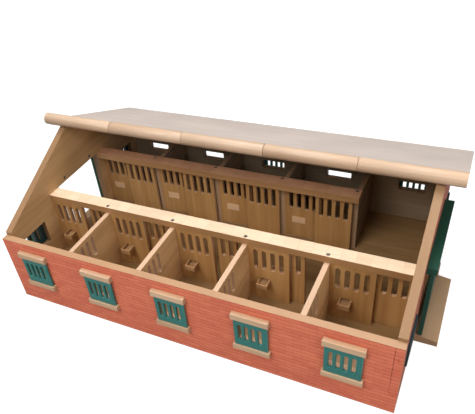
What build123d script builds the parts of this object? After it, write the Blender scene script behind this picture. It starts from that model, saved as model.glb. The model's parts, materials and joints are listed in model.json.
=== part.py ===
from build123d import *
import math
import os

os.makedirs("parts", exist_ok=True)

# A toy stable in beech, plywood and paint.  A long brick-red house stands round a raised
# floor.  Stalls with sliding doors line both sides of a corridor that runs from gable to
# gable, the windows have hinged shutters, each gable has a pair of doors and a ramp, and
# the front half of the roof folds back over the rear half on a long wooden ridge roll.
#
# Frame: origin at the centre of the underside, on the ground.  +X runs along the ridge to
# the right gable, +Y points to the back wall and +Z is up.  Lengths are in millimetres
# and angles in degrees.

# ---- House shell ---------------------------------------------------------------------
house_length = 660.0
house_depth = 418.0
wall_height = 134.0
wall_thickness = 12.0
roof_pitch = 26.6

# ---- Floor board ---------------------------------------------------------------------
floor_underside = 16.0
floor_thickness = 9.0
floor_groove_depth = 3.0

# ---- Stalls --------------------------------------------------------------------------
partition_count = 4
partition_thickness = 8.0
first_stall_width = 122.4
last_stall_width = 116.6
stall_depth = 116.5
stall_panel_width = 67.0
stall_panel_thickness = 7.0
beam_width = 24.2
beam_thickness = 12.0
beam_groove_depth = 4.0
beam_stall_lip = 1.0
rear_beam_overrun = 3.3

# ---- Slots in partitions, stall panels and stall doors -------------------------------
grille_slot_width = 8.0
grille_slot_pitch = 14.2
grille_slot_count = 4
grille_slot_length = 38.8
grille_slot_drop = 7.2
partition_slot_inset = 6.4
panel_slot_inset = 12.2
door_slot_inset = 10.2

# ---- Sliding stall doors -------------------------------------------------------------
stall_door_width = 63.0
stall_door_thickness = 6.0
stall_door_gap = 2.1
stall_door_lift = 0.3
groove_side_clearance = 0.5
groove_top_clearance = 0.5
front_door_shifts = [16.3, 5.6, 12.7, -32.6, 0.0]
rear_door_shifts = [0.0, 0.0, 0.0, 0.0]

# ---- Feeders -------------------------------------------------------------------------
feeder_middle = 26.5
feeder_height = 64.5
feeder_tray_width = 18.5
feeder_tray_height = 9.0
feeder_tray_reach = 16.0
feeder_wall = 2.2
feeder_plate_width = 25.0
feeder_plate_height = 13.0
feeder_plate_thickness = 1.6
feeder_clearance = 0.15

# ---- Windows and shutters in the long walls ------------------------------------------
window_count = 5
first_window_inset = 61.0
last_window_inset = 73.0
window_width = 46.0
window_top = 102.5
front_window_bottom = 56.5
back_window_bottom = 84.0
trim_length = 57.0
trim_depth = 7.5
trim_round = 1.2
window_lintel_height = 11.0
sill_height = 9.8
sill_top = 53.2
shutter_width = 52.0
shutter_height = 51.8
shutter_thickness = 4.2
shutter_wall_gap = 1.2
shutter_end_gap = 0.4
shutter_slot_width = 6.0
shutter_slot_length = 33.0
shutter_slot_pitch = 10.4
shutter_slot_count = 4
shutter_slot_inset = 9.3
shutter_slot_rise = 9.9
shutter_pin_inset = 2.8
shutter_pin_radius = 1.0
shutter_pin_depth = 6.0
shutter_round = 1.5
front_shutter_angles = [0.0, 0.0, 0.0, 0.0, 0.0]
back_shutter_angles = [110.0, 60.0, 0.0, 95.0, 0.0]

# ---- Gable windows -------------------------------------------------------------------
gable_window_width = 57.0
gable_window_height = 44.0
gable_window_offset = 149.0
gable_window_bottom = 64.5
gable_grille_clearance = 0.2
gable_grille_thickness = 6.0
gable_grille_proud = 3.0
gable_grille_slot_width = 8.0
gable_grille_slot_length = 32.0
gable_grille_slot_pitch = 14.6
gable_grille_slot_count = 3

# ---- Gable doors, their lintels, ramps and latches -----------------------------------
doorway_width = 124.0
doorway_top = 146.0
leaf_width = 72.0
leaf_thickness = 6.0
leaf_bottom = 16.0
leaf_height = 131.0
leaf_joint_gap = 1.0
leaf_wall_gap = 5.0
leaf_pin_inset = 3.0
leaf_pin_radius = 1.5
leaf_pin_depth = 10.0
diamond_width = 13.0
diamond_height = 24.0
diamond_middle = 102.0
lintel_length = 164.0
lintel_depth = 14.0
lintel_height = 11.0
lintel_leaf_gap = 1.0
lintel_pin_depth = 8.0
ramp_width = 145.0
ramp_reach = 34.5
ramp_wall_height = 15.0
ramp_tip_height = 9.0
ramp_pin_floor = 6.0
latch_width = 15.0
latch_height = 22.0
latch_thickness = 3.0
latch_overlap = 5.5
latch_pivot_inset = 7.0
latch_middle = 76.0
latch_corner = 2.0
latch_gap = 0.3
latch_screw_radius = 1.3
latch_screw_depth = 4.0
latch_head_radius = 2.4
latch_head_thickness = 1.2
left_leaf_angle = 175.0
right_leaf_angle = 0.0

# ---- Roof and its ridge hinge --------------------------------------------------------
gable_overhang = 25.0
roof_reach = 268.0
roof_thickness = 5.0
roof_fold_pitch = 21.5
front_roof_lift = 1.5
ridge_roll_radius = 10.2
ridge_roll_seat = 6.3
ridge_segment_count = 5
ridge_segment_gap = 0.5
ridge_turning_clearance = 0.3
ridge_end_gap = 0.3
front_roof_inset = 3.0
ridge_rod_radius = 2.0
ridge_rod_recess = 1.5

# ---- Fixing screws -------------------------------------------------------------------
screw_head_radius = 3.0
screw_shank_radius = 1.4
screw_length = 20.0
screw_tip_length = 2.5
screw_recess_width = 0.7
screw_recess_length = 3.4
screw_recess_depth = 0.9
screw_fit = 0.1
wall_screw_heights = [37.0, 111.0]
beam_screw_inset = 5.0
lintel_screw_offset = 40.0

# ---- Fits ----------------------------------------------------------------------------
running_clearance = 0.05
pin_end_clearance = 0.3

# ---- Places worked out from the sizes above ------------------------------------------
inner_length = house_length - 2 * wall_thickness
inner_depth = house_depth - 2 * wall_thickness
floor_top = floor_underside + floor_thickness
pitch_angle = math.radians(roof_pitch)

first_partition = -inner_length / 2 + first_stall_width + partition_thickness / 2
last_partition = inner_length / 2 - last_stall_width - partition_thickness / 2
partition_spacing = (last_partition - first_partition) / (partition_count - 1)
partition_middles = [first_partition + i * partition_spacing for i in range(partition_count)]
stall_lefts = [-inner_length / 2] + [x + partition_thickness / 2 for x in partition_middles]
stall_rights = [x - partition_thickness / 2 for x in partition_middles] + [inner_length / 2]

# Distances from the house's middle plane y = 0, the same for the front and the rear row.
stall_end = inner_depth / 2 - stall_depth
panel_outer = stall_end + stall_panel_thickness
door_outer = stall_end - stall_door_gap
door_inner = door_outer - stall_door_thickness
beam_outer = panel_outer + beam_stall_lip
beam_inner = beam_outer - beam_width
groove_middle = (door_outer + door_inner) / 2
groove_width = stall_door_thickness + 2 * groove_side_clearance

stall_door_bottom = floor_top - floor_groove_depth + stall_door_lift
stall_door_top = wall_height + beam_groove_depth - groove_top_clearance
beam_top = wall_height + beam_thickness
grille_slot_middle = wall_height - grille_slot_drop - grille_slot_length / 2

first_window = -house_length / 2 + first_window_inset
last_window = house_length / 2 - last_window_inset
window_spacing = (last_window - first_window) / (window_count - 1)
window_middles = [first_window + i * window_spacing for i in range(window_count)]
back_window_middles = [-x for x in reversed(window_middles)]
shutter_bottom = sill_top + shutter_end_gap
window_trim_bottom = shutter_bottom + shutter_height + shutter_end_gap
shutter_middle_out = house_depth / 2 + shutter_wall_gap + shutter_thickness / 2

leaf_middle_out = house_length / 2 + leaf_wall_gap + leaf_thickness / 2
leaf_pivot = leaf_joint_gap / 2 + leaf_width - leaf_pin_inset
lintel_bottom = leaf_bottom + leaf_height + lintel_leaf_gap

ridge_height = (
    wall_height
    + house_depth / 2 * math.tan(pitch_angle)
    + (roof_thickness + ridge_roll_seat) / math.cos(pitch_angle)
)
roof_length = house_length + 2 * gable_overhang
ridge_segment = roof_length / ridge_segment_count
rear_segments = range(0, ridge_segment_count, 2)
front_segments = range(1, ridge_segment_count, 2)

rows = [("front", -1), ("rear", 1)]
long_walls = [
    ("front", -1, window_middles, front_window_bottom, front_shutter_angles),
    ("back", 1, back_window_middles, back_window_bottom, back_shutter_angles),
]
gable_sides = [("left", -1, left_leaf_angle), ("right", 1, right_leaf_angle)]


def place(x, y, z, direction):
    """Return the location at a point whose +Z points along a direction."""
    return Plane(origin=(x, y, z), z_dir=direction).location


def upright_plane(x, y, z, heading):
    """Return an upright plane through a point: local x runs along the heading, local y up."""
    turn = math.radians(heading)
    along = (math.cos(turn), math.sin(turn), 0)
    facing = (math.sin(turn), -math.cos(turn), 0)
    return Plane(origin=(x, y, z), x_dir=along, z_dir=facing)


def upright_slot(length, width):
    """Cut upright round-ended slots out of the sketch at its current places."""
    SlotOverall(length, width, rotation=90, mode=Mode.SUBTRACT)


def save(part, name):
    """Label a finished piece and write it."""
    part.label = name
    export_step(part, f"parts/{name}.step")


# ---- One countersunk wood screw, and the bore that it fits ------------------------------
def turned_screw(growth):
    """Return the plain turned screw, grown all round, with its head at z = 0."""
    head = screw_head_radius + growth
    shank = screw_shank_radius + growth
    with BuildPart() as turned:
        with BuildSketch(Plane.XZ):
            with BuildLine():
                Polyline(
                    (0, 0),
                    (head, 0),
                    (shank, shank - head),
                    (shank, screw_tip_length - screw_length),
                    (0, -screw_length - growth),
                    close=True,
                )
            make_face()
        revolve(axis=Axis.Z)
    return turned.part


screw_bore = turned_screw(screw_fit)

with BuildPart() as screw:
    add(turned_screw(0))
    with BuildSketch(Plane.XY):
        Rectangle(screw_recess_length, screw_recess_width)
        Rectangle(screw_recess_width, screw_recess_length)
    extrude(amount=-screw_recess_depth, mode=Mode.SUBTRACT)

# Where the screws sit: through the long walls into the gables, down through the beams into
# the partitions, and out through the gables into the door lintels.
gable_middle_x = (house_length - wall_thickness) / 2
wall_screws = [
    place(end * gable_middle_x, side * house_depth / 2, height, (0, side, 0))
    for side in (-1, 1)
    for end in (-1, 1)
    for height in wall_screw_heights
]
beam_screws = [
    place(x, side * (beam_outer - beam_screw_inset), beam_top, (0, 0, 1))
    for side in (-1, 1)
    for x in partition_middles
]
lintel_middle = lintel_bottom + lintel_height / 2
lintel_screws = [
    place(end * inner_length / 2, side * lintel_screw_offset, lintel_middle, (-end, 0, 0))
    for end in (-1, 1)
    for side in (-1, 1)
]

with BuildPart() as fixing_screws:
    with Locations(*wall_screws, *beam_screws, *lintel_screws):
        add(screw.part)
save(fixing_screws.part, "fixing_screws")

# ---- Floor board, with a groove along each row for the stall doors ----------------------
rear_beam_end = partition_middles[-1] + partition_thickness / 2 + rear_beam_overrun
beam_ends = {"front": inner_length / 2, "rear": rear_beam_end}

with BuildPart() as floor_board:
    with BuildSketch(Plane.XY.offset(floor_underside)):
        Rectangle(inner_length, inner_depth)
    extrude(amount=floor_thickness)
    for row, side in rows:
        groove_length = beam_ends[row] + inner_length / 2
        with BuildSketch(Plane.XY.offset(floor_top)):
            with Locations((beam_ends[row] - groove_length / 2, side * groove_middle)):
                Rectangle(groove_length, groove_width)
        extrude(amount=-floor_groove_depth, mode=Mode.SUBTRACT)
save(floor_board.part, "floor_board")

# ---- Long walls, with their window holes ------------------------------------------------
# The back wall has its windows at the turned places, and its holes start higher.
for name, side, middles, window_bottom, angles in long_walls:
    with BuildPart() as wall:
        with BuildSketch(Plane.XZ.offset(-side * house_depth / 2)):
            with Locations((0, wall_height / 2)):
                Rectangle(house_length, wall_height)
            with Locations(*[(x, (window_bottom + window_top) / 2) for x in middles]):
                Rectangle(window_width, window_top - window_bottom, mode=Mode.SUBTRACT)
        extrude(amount=side * wall_thickness)
        with Locations(*wall_screws):
            add(screw_bore, mode=Mode.SUBTRACT)
    save(wall.part, f"{name}_wall")

# ---- Gables, with a doorway and two windows each ----------------------------------------
eave_height = wall_height + wall_thickness * math.tan(pitch_angle)
apex_height = wall_height + house_depth / 2 * math.tan(pitch_angle)
gable_window_middle = gable_window_bottom + gable_window_height / 2
gable_window_points = [(side * gable_window_offset, gable_window_middle) for side in (-1, 1)]

for name, end, angle in gable_sides:
    with BuildPart() as gable:
        with BuildSketch(Plane.YZ.offset(end * gable_middle_x)):
            with BuildLine():
                Polyline(
                    (-inner_depth / 2, 0),
                    (inner_depth / 2, 0),
                    (inner_depth / 2, eave_height),
                    (0, apex_height),
                    (-inner_depth / 2, eave_height),
                    close=True,
                )
            make_face()
            with Locations((0, (floor_top + doorway_top) / 2)):
                Rectangle(doorway_width, doorway_top - floor_top, mode=Mode.SUBTRACT)
            with Locations(*gable_window_points):
                Rectangle(gable_window_width, gable_window_height, mode=Mode.SUBTRACT)
        extrude(amount=wall_thickness / 2, both=True)
        with Locations(*wall_screws, *lintel_screws):
            add(screw_bore, mode=Mode.SUBTRACT)
    save(gable.part, f"{name}_gable")

    # Barred inserts pressed into the two gable windows, standing proud of the brickwork.
    grille_outer = house_length / 2 + gable_grille_proud
    grille_middle_x = end * (grille_outer - gable_grille_thickness / 2)
    with BuildPart() as grilles:
        for point in gable_window_points:
            with BuildSketch(Plane.YZ.offset(grille_middle_x)):
                with Locations(point):
                    Rectangle(
                        gable_window_width - 2 * gable_grille_clearance,
                        gable_window_height - 2 * gable_grille_clearance,
                    )
                    with GridLocations(gable_grille_slot_pitch, 0, gable_grille_slot_count, 1):
                        upright_slot(gable_grille_slot_length, gable_grille_slot_width)
            extrude(amount=gable_grille_thickness / 2, both=True)
    save(grilles.part, f"{name}_gable_grilles")

# ---- Both rows: partitions, beam, fixed stall panels, feeders and sliding doors ---------
for row, side in rows:
    lefts = stall_lefts if row == "front" else stall_lefts[:partition_count]
    shifts = front_door_shifts if row == "front" else rear_door_shifts

    with BuildPart() as partitions:
        slot_points = [
            (side * (inner_depth / 2 - partition_slot_inset - i * grille_slot_pitch), grille_slot_middle)
            for i in range(grille_slot_count)
        ]
        for middle in partition_middles:
            with BuildSketch(Plane.YZ.offset(middle)):
                with Locations((side * (stall_end + stall_depth / 2), (floor_top + wall_height) / 2)):
                    Rectangle(stall_depth, wall_height - floor_top)
                with Locations(*slot_points):
                    upright_slot(grille_slot_length, grille_slot_width)
            extrude(amount=partition_thickness / 2, both=True)
        with Locations(*beam_screws):
            add(screw_bore, mode=Mode.SUBTRACT)
    save(partitions.part, f"{row}_partitions")

    # The beam lies on the partitions and stall panels, grooved underneath for the doors.
    with BuildPart() as beam:
        beam_length = beam_ends[row] + inner_length / 2
        beam_middle_x = beam_ends[row] - beam_length / 2
        with BuildSketch(Plane.XY.offset(wall_height)):
            with Locations((beam_middle_x, side * (beam_outer + beam_inner) / 2)):
                Rectangle(beam_length, beam_width)
        extrude(amount=beam_thickness)
        with BuildSketch(Plane.XY.offset(wall_height)):
            with Locations((beam_middle_x, side * groove_middle)):
                Rectangle(beam_length, groove_width)
        extrude(amount=beam_groove_depth, mode=Mode.SUBTRACT)
        with Locations(*beam_screws):
            add(screw_bore, mode=Mode.SUBTRACT)
    save(beam.part, f"{row}_beam")

    # A fixed panel fills the left part of each stall's front, with a hole for the feeder.
    with BuildPart() as stall_panels:
        for left in lefts:
            with BuildSketch(Plane.XZ.offset(-side * (stall_end + stall_panel_thickness / 2))):
                with Locations((left + stall_panel_width / 2, (floor_top + wall_height) / 2)):
                    Rectangle(stall_panel_width, wall_height - floor_top)
                first_slot = left + panel_slot_inset
                for i in range(grille_slot_count):
                    with Locations((first_slot + i * grille_slot_pitch, grille_slot_middle)):
                        upright_slot(grille_slot_length, grille_slot_width)
                with Locations((left + feeder_middle, feeder_height)):
                    Rectangle(
                        feeder_tray_width + 2 * feeder_clearance,
                        feeder_tray_height + 2 * feeder_clearance,
                        mode=Mode.SUBTRACT,
                    )
            extrude(amount=stall_panel_thickness / 2, both=True)
    save(stall_panels.part, f"{row}_stall_panels")

    # An open tray reaches into each stall from a plate on the corridor side of the panel.
    with BuildPart() as feeders:
        tray_length = stall_panel_thickness + feeder_tray_reach
        for left in lefts:
            with BuildSketch(Plane.XZ.offset(-side * stall_end)):
                with Locations((left + feeder_middle, feeder_height)):
                    Rectangle(feeder_plate_width, feeder_plate_height)
            extrude(amount=side * feeder_plate_thickness)
            with BuildSketch(Plane.XZ.offset(-side * stall_end)):
                with Locations((left + feeder_middle, feeder_height)):
                    Rectangle(feeder_tray_width, feeder_tray_height)
            extrude(amount=-side * tray_length)
            with BuildSketch(Plane.XY.offset(feeder_height - feeder_tray_height / 2 + feeder_wall)):
                with Locations((left + feeder_middle, side * (stall_end + tray_length / 2))):
                    Rectangle(feeder_tray_width - 2 * feeder_wall, tray_length - 2 * feeder_wall)
            extrude(amount=feeder_tray_height, mode=Mode.SUBTRACT)
    save(feeders.part, f"{row}_feeders")

    # Each door slides in the grooves, on the corridor side of the panels.
    for number, shift in enumerate(shifts, start=1):
        door_left = stall_rights[number - 1] - stall_door_width + shift
        door_middle = (door_left + stall_door_width / 2, (stall_door_bottom + stall_door_top) / 2)
        first_slot = door_left + door_slot_inset
        with BuildPart() as stall_door:
            with BuildSketch(Plane.XZ.offset(-side * groove_middle)):
                with Locations(door_middle):
                    Rectangle(stall_door_width, stall_door_top - stall_door_bottom)
                for i in range(grille_slot_count):
                    with Locations((first_slot + i * grille_slot_pitch, grille_slot_middle)):
                        upright_slot(grille_slot_length, grille_slot_width)
            extrude(amount=stall_door_thickness / 2, both=True)
        save(stall_door.part, f"{row}_stall_door_{number}")

# ---- Window lintels, sills and shutters -------------------------------------------------
# A shutter turns on two pins, one let into the lintel above it and one into the sill below.
# Its pinned edge is on the left as seen from outside.
shutter_top = shutter_bottom + shutter_height
window_pin_points = []

for name, side, middles, window_bottom, angles in long_walls:
    pin_offset = side * (shutter_width / 2 - shutter_pin_inset)
    pin_points = [(x + pin_offset, side * shutter_middle_out) for x in middles]
    window_pin_points += pin_points

    for kind, bottom, height, pin_face, up in (
        ("lintels", window_trim_bottom, window_lintel_height, window_trim_bottom, 1),
        ("sills", sill_top - sill_height, sill_height, sill_top, -1),
    ):
        with BuildPart() as trim:
            with BuildSketch(Plane.XY.offset(bottom)):
                with Locations(*[(x, side * (house_depth + trim_depth) / 2) for x in middles]):
                    Rectangle(trim_length, trim_depth)
            extrude(amount=height)
            outer_edges = trim.edges().filter_by(Axis.X).group_by(Axis.Y)[-1 if side > 0 else 0]
            fillet(outer_edges, trim_round)
            with BuildSketch(Plane.XY.offset(pin_face)):
                with Locations(*pin_points):
                    Circle(shutter_pin_radius + running_clearance)
            extrude(amount=up * (shutter_pin_depth + pin_end_clearance), mode=Mode.SUBTRACT)
        save(trim.part, f"{name}_window_{kind}")

    for number, (pin_point, angle) in enumerate(zip(pin_points, angles), start=1):
        heading = 90 + 90 * side - angle
        shutter_plane = upright_plane(*pin_point, shutter_bottom, heading)
        with BuildPart() as shutter:
            with BuildSketch(shutter_plane):
                with Locations((shutter_width / 2 - shutter_pin_inset, shutter_height / 2)):
                    Rectangle(shutter_width, shutter_height)
            extrude(amount=shutter_thickness / 2, both=True)
            fillet(shutter.edges().filter_by(Axis.Z), shutter_round)
            with BuildSketch(shutter_plane):
                slot_height = shutter_slot_rise + shutter_slot_length / 2
                for i in range(shutter_slot_count):
                    along = shutter_slot_inset - shutter_pin_inset + i * shutter_slot_pitch
                    with Locations((along, slot_height)):
                        SlotOverall(shutter_slot_length, shutter_slot_width, rotation=90)
            extrude(amount=shutter_thickness, both=True, mode=Mode.SUBTRACT)
            for height, up in ((shutter_bottom, 1), (shutter_top, -1)):
                with BuildSketch(Plane.XY.offset(height)):
                    with Locations(pin_point):
                        Circle(shutter_pin_radius + running_clearance)
                extrude(amount=up * (shutter_pin_depth + pin_end_clearance), mode=Mode.SUBTRACT)
        save(shutter.part, f"{name}_shutter_{number}")

with BuildPart() as shutter_pins:
    for foot in (sill_top - shutter_pin_depth, shutter_top - shutter_pin_depth):
        with BuildSketch(Plane.XY.offset(foot)):
            with Locations(*window_pin_points):
                Circle(shutter_pin_radius)
        extrude(amount=2 * shutter_pin_depth + shutter_end_gap)
save(shutter_pins.part, "shutter_pins")

# ---- Gable doors, with their lintels, ramps and latches ---------------------------------
# A leaf turns on a pin in the lintel above it and a pin in the ramp below it.
leaf_pin_points = [
    (end * leaf_middle_out, side * leaf_pivot)
    for end in (-1, 1)
    for side in (-1, 1)
]
leaf_top = leaf_bottom + leaf_height

for name, end, angle in gable_sides:
    with BuildPart() as lintel:
        with BuildSketch(Plane.XY.offset(lintel_bottom)):
            with Locations((end * (house_length + lintel_depth) / 2, 0)):
                Rectangle(lintel_depth, lintel_length)
        extrude(amount=lintel_height)
        with BuildSketch(Plane.XY.offset(lintel_bottom)):
            with Locations(*leaf_pin_points):
                Circle(leaf_pin_radius + running_clearance)
        extrude(amount=lintel_pin_depth + pin_end_clearance, mode=Mode.SUBTRACT)
        with Locations(*lintel_screws):
            add(screw_bore, mode=Mode.SUBTRACT)
    save(lintel.part, f"{name}_door_lintel")

    with BuildPart() as ramp:
        with BuildSketch(Plane.XZ):
            with BuildLine():
                Polyline(
                    (end * house_length / 2, 0),
                    (end * (house_length / 2 + ramp_reach), 0),
                    (end * (house_length / 2 + ramp_reach), ramp_tip_height),
                    (end * house_length / 2, ramp_wall_height),
                    close=True,
                )
            make_face()
        extrude(amount=ramp_width / 2, both=True)
        with BuildSketch(Plane.XY.offset(ramp_pin_floor)):
            with Locations(*leaf_pin_points):
                Circle(leaf_pin_radius + running_clearance)
        extrude(amount=ramp_wall_height, mode=Mode.SUBTRACT)
    save(ramp.part, f"{name}_ramp")

    for row, side in rows:
        pin_point = (end * leaf_middle_out, side * leaf_pivot)
        heading = side * (end * angle - 90)
        leaf_plane = upright_plane(*pin_point, leaf_bottom, heading)
        latch_plane = upright_plane(*pin_point, latch_middle, heading).offset(-leaf_thickness / 2)
        latch_along = leaf_pivot - latch_pivot_inset
        latch_reach = latch_pivot_inset + latch_overlap
        has_latch = side == end
        with BuildPart() as leaf:
            with BuildSketch(leaf_plane):
                with Locations((leaf_width / 2 - leaf_pin_inset, leaf_height / 2)):
                    Rectangle(leaf_width, leaf_height)
                with Locations((leaf_width / 2 - leaf_pin_inset, diamond_middle - leaf_bottom)):
                    Polygon(
                        (0, diamond_height / 2),
                        (diamond_width / 2, 0),
                        (0, -diamond_height / 2),
                        (-diamond_width / 2, 0),
                        mode=Mode.SUBTRACT,
                    )
            extrude(amount=leaf_thickness / 2, both=True)
            for height, up in ((leaf_bottom, 1), (leaf_top, -1)):
                with BuildSketch(Plane.XY.offset(height)):
                    with Locations(pin_point):
                        Circle(leaf_pin_radius + running_clearance)
                extrude(amount=up * (leaf_pin_depth + pin_end_clearance), mode=Mode.SUBTRACT)
            if has_latch:
                with BuildSketch(latch_plane):
                    with Locations((latch_along, 0)):
                        Circle(latch_screw_radius)
                extrude(amount=latch_screw_depth, mode=Mode.SUBTRACT)
        save(leaf.part, f"{name}_gable_door_{row}")

        # The turn button hangs off centre on its screw.  Here it is turned clear of the joint
        # between the leaves, and half a turn brings it over the other leaf.
        if has_latch:
            latch_face = latch_plane.offset(-latch_gap - latch_thickness)
            with BuildPart() as latch:
                with BuildSketch(latch_face):
                    with Locations((latch_along + latch_width / 2 - latch_reach, 0)):
                        RectangleRounded(latch_width, latch_height, latch_corner)
                    with Locations((latch_along, 0)):
                        Circle(latch_screw_radius + running_clearance, mode=Mode.SUBTRACT)
                extrude(amount=latch_thickness)
                with BuildSketch(latch_face):
                    with Locations((latch_along, 0)):
                        Circle(latch_head_radius + running_clearance)
                extrude(amount=latch_head_thickness + running_clearance, mode=Mode.SUBTRACT)
            save(latch.part, f"{name}_latch")

            with BuildPart() as latch_screw:
                with BuildSketch(latch_plane.offset(latch_screw_depth)):
                    with Locations((latch_along, 0)):
                        Circle(latch_screw_radius)
                extrude(amount=-latch_screw_depth - latch_gap - latch_thickness)
                with BuildSketch(latch_face):
                    with Locations((latch_along, 0)):
                        Circle(latch_head_radius)
                extrude(amount=latch_head_thickness)
            save(latch_screw.part, f"{name}_latch_screw")

with BuildPart() as gable_door_pins:
    for foot, top in (
        (ramp_pin_floor, leaf_bottom + leaf_pin_depth),
        (leaf_top - leaf_pin_depth, lintel_bottom + lintel_pin_depth),
    ):
        with BuildSketch(Plane.XY.offset(foot)):
            with Locations(*leaf_pin_points):
                Circle(leaf_pin_radius)
        extrude(amount=top - foot)
save(gable_door_pins.part, "gable_door_pins")

# ---- Roof -------------------------------------------------------------------------------
# Each half is drawn in a section plane of its own, with its origin on the ridge rod and
# local x running down the rear slope.  The rear half lies on the gables, below the rod.  The
# front half is shown folded back over it, with its lining just below the rod, so that it
# lies just above the rod when it is closed.
def section_plane(pitch):
    """Return the roof's section plane at its left end, with local x down a rear slope."""
    slope = math.radians(pitch)
    return Plane(
        origin=(-roof_length / 2, 0, ridge_height),
        x_dir=(0, math.cos(slope), -math.sin(slope)),
        z_dir=(1, 0, 0),
    )


rear_top = -ridge_roll_seat
rear_under = rear_top - roof_thickness
front_lining = -front_roof_lift
front_outer = front_lining - roof_thickness

for name, pitch, section, own_segments, other_segments in (
    (
        "rear",
        roof_pitch,
        [
            ((ridge_end_gap - rear_top * math.sin(pitch_angle)) / math.cos(pitch_angle), rear_top),
            (roof_reach, rear_top),
            (roof_reach, rear_under),
            ((ridge_end_gap - rear_under * math.sin(pitch_angle)) / math.cos(pitch_angle), rear_under),
        ],
        rear_segments,
        front_segments,
    ),
    (
        "front",
        roof_fold_pitch,
        [
            (front_roof_inset, front_lining),
            (roof_reach, front_lining),
            (roof_reach, front_outer),
            (front_roof_inset, front_outer),
        ],
        front_segments,
        rear_segments,
    ),
):
    slope_plane = section_plane(pitch)
    with BuildPart() as roof_panel:
        with BuildSketch(slope_plane):
            with BuildLine():
                Polyline(*section, close=True)
            make_face()
        extrude(amount=roof_length)
        for segment in other_segments:
            with BuildSketch(slope_plane.offset(segment * ridge_segment)):
                Circle(ridge_roll_radius + ridge_turning_clearance)
            extrude(amount=ridge_segment, mode=Mode.SUBTRACT)
    save(roof_panel.part, f"{name}_roof_panel")

    # The lengths of the ridge roll that sit on this half, bored for the rod.
    with BuildPart() as ridge_rolls:
        for segment in own_segments:
            with BuildSketch(slope_plane.offset(segment * ridge_segment + ridge_segment_gap / 2)):
                Circle(ridge_roll_radius)
                Circle(ridge_rod_radius + running_clearance, mode=Mode.SUBTRACT)
                with BuildLine():
                    Polyline(*section, close=True)
                make_face(mode=Mode.SUBTRACT)
            extrude(amount=ridge_segment - ridge_segment_gap)
    save(ridge_rolls.part, f"{name}_ridge_rolls")

with BuildPart() as ridge_rod:
    with BuildSketch(section_plane(roof_pitch).offset(ridge_rod_recess)):
        Circle(ridge_rod_radius)
    extrude(amount=roof_length - 2 * ridge_rod_recess)
save(ridge_rod.part, "ridge_rod")
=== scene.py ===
"""Dress a toy stable whose roof, shutters and doors all open.

Every board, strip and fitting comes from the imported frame.  Each sub-assembly is a class that
knows its own pieces, softens their edges and gives them their finishes.  The studio round the
stable holds the floor, the lamps and the camera.
"""

import json
import logging
import math
from dataclasses import dataclass, field, replace
from enum import Enum
from typing import ClassVar

import bpy
from mathutils import Matrix, Vector


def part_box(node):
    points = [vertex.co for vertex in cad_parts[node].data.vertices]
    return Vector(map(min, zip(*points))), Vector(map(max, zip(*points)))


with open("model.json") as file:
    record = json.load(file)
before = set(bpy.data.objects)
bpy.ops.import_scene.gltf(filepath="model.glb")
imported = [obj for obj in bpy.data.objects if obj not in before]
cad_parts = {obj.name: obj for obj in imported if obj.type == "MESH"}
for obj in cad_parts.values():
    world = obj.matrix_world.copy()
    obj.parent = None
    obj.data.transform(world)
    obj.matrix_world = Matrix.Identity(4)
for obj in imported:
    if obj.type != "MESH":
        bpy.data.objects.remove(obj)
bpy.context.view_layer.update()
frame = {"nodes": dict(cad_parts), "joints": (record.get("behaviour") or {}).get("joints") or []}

LOG = logging.getLogger("stable")
MILLIMETRES = 1000.0  # in a metre

Colour = tuple[float, float, float, float]
Socket = bpy.types.NodeSocket
Number = Socket | float


# ---- Finishes ------------------------------------------------------------------------------
def tint(code: str) -> Colour:
    """Turn a screen colour into the linear colour that the shaders use.

    Args:
        code: Six hexadecimal digits, such as "C97357".

    Returns:
        The linear red, green and blue, and an alpha of one.
    """
    channels = [int(code[i : i + 2], 16) / 255 for i in (0, 2, 4)]
    linear = [c / 12.92 if c <= 0.04045 else ((c + 0.055) / 1.055) ** 2.4 for c in channels]
    return (linear[0], linear[1], linear[2], 1.0)


class Axis(Enum):
    """One of the three directions of a board."""

    LENGTH = 0
    THICKNESS = 1
    HEIGHT = 2


@dataclass(frozen=True)
class Lie:
    """How a board lies in the row frame.

    Its own axes are x along its length, y through its thickness and z up its height.

    Args:
        turn: Its turn about the row frame's X, Y and Z, in degrees.
    """

    turn: tuple[float, float, float] = (0.0, 0.0, 0.0)


ALONG = Lie()
ACROSS = Lie((0.0, 0.0, 90.0))
FLAT = Lie((90.0, 0.0, 0.0))


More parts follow.
